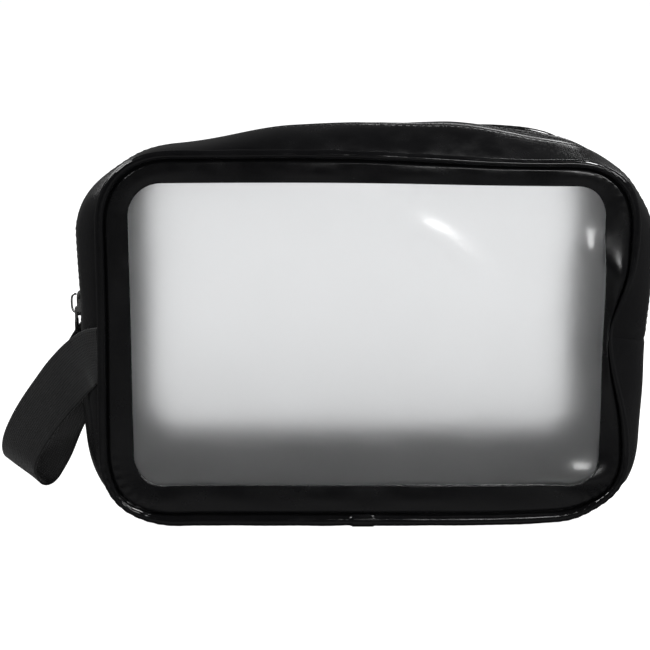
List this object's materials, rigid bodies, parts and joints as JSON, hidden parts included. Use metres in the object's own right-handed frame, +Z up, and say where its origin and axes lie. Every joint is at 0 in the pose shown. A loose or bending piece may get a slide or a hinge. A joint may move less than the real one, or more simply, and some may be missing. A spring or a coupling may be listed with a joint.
{
  "type": "makeup bag",
  "caption": "Upright zip pouch in glossy black coated fabric with frosted front and back windows, piped seams and a webbing side handle.",
  "frame": {"origin": "middle of the flat underside", "axes": "+X across the front with the handle at -X, +Y to the back, +Z up"},
  "size_m": [0.3071, 0.076, 0.1836],
  "materials": {
    "coated_fabric": "glossy black coated fabric",
    "frosted_sheet": "frosted translucent sheet",
    "webbing": "black woven webbing",
    "zip_tape": "black woven tape",
    "zip_coil": "black nylon coil",
    "piping_cord": "plastic cord",
    "seam_binding": "black binding tape",
    "zip_metal": "bright plated metal"
  },
  "bodies": {
    "bag": {"front_border_lower": "coated_fabric", "front_window_lower": "frosted_sheet", "front_piping_lower": "coated_fabric", "front_cord_lower": "piping_cord", "front_binding_lower": "seam_binding", "back_border": "coated_fabric", "back_window": "frosted_sheet", "back_piping": "coated_fabric", "back_cord": "piping_cord", "back_binding": "seam_binding", "bottom_gusset": "coated_fabric", "zip_strip_back": "coated_fabric", "zip_strip_front_left": "coated_fabric", "zip_strip_front_right": "coated_fabric", "side_seam_left": "seam_binding", "side_seam_right": "seam_binding", "zip_tape_back": "zip_tape", "zip_tape_front_left": "zip_tape", "zip_tape_front_right": "zip_tape", "zip_coil_back": "zip_coil", "zip_coil_front_left": "zip_coil", "zip_coil_front_right": "zip_coil", "handle_end_front": "webbing", "handle_end_back": "webbing"},
    "front_flap": {"front_border_upper": "coated_fabric", "front_window_upper": "frosted_sheet", "front_piping_upper": "coated_fabric", "front_cord_upper": "piping_cord", "front_binding_upper": "seam_binding", "zip_strip_front": "coated_fabric", "zip_tape_front": "zip_tape", "zip_coil_front": "zip_coil"},
    "slider": {"slider_body": "zip_metal", "slider_bail": "zip_metal"},
    "pull": {"pull_tab": "zip_metal"},
    "handle": {"handle_loop": "webbing"}
  },
  "joints": [
    {"name": "mouth_fold", "type": "hinge", "parent": "bag", "child": "front_flap", "pos_m": [0, -0.0383, 0.105], "axis": [1, 0, 0], "range_deg": [0, 75]},
    {"name": "slider_travel", "type": "slide", "parent": "bag", "child": "slider", "axis": [0, 0, 1], "range_m": [0, 0.03]},
    {"name": "pull_swing", "type": "hinge", "parent": "slider", "child": "pull", "pos_m": [-0.13695, 0, 0.0956], "axis": [0, 1, 0], "range_deg": [0, 135]},
    {"name": "handle_swing", "type": "hinge", "parent": "bag", "child": "handle", "pos_m": [-0.1398, 0, 0.064], "axis": [0, 1, 0], "range_deg": [0, 55]}
  ]
}
